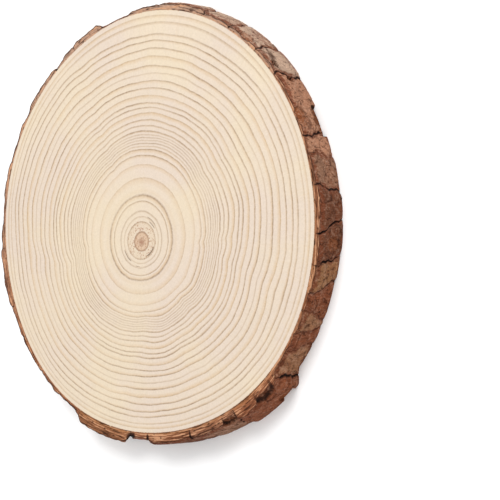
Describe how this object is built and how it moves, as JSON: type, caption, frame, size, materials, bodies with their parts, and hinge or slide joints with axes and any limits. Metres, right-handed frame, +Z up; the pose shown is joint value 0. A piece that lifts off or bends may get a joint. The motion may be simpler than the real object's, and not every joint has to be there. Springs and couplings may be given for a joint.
{
  "type": "wood slice",
  "caption": "Round slice sawn straight across a small pine log with its bark left on: a flat natural board to stand things on, serve from or decorate.",
  "frame": {"origin": "middle of the slice's outline, on the surface that its lower sawn face lies on", "axes": "+Z up, square to the sawn faces; +X towards the side of the rim that the viewer sees; +Y across"},
  "size_m": [0.2348, 0.2408, 0.018],
  "materials": {
    "wood": "smooth sawn end grain, dry and unvarnished, with thin tan growth rings",
    "bark": "rough weathered pine bark in grey-brown plates, red-brown where a scale is missing"
  },
  "bodies": {
    "root": {"wood_slice": "wood"}
  },
  "joints": []
}
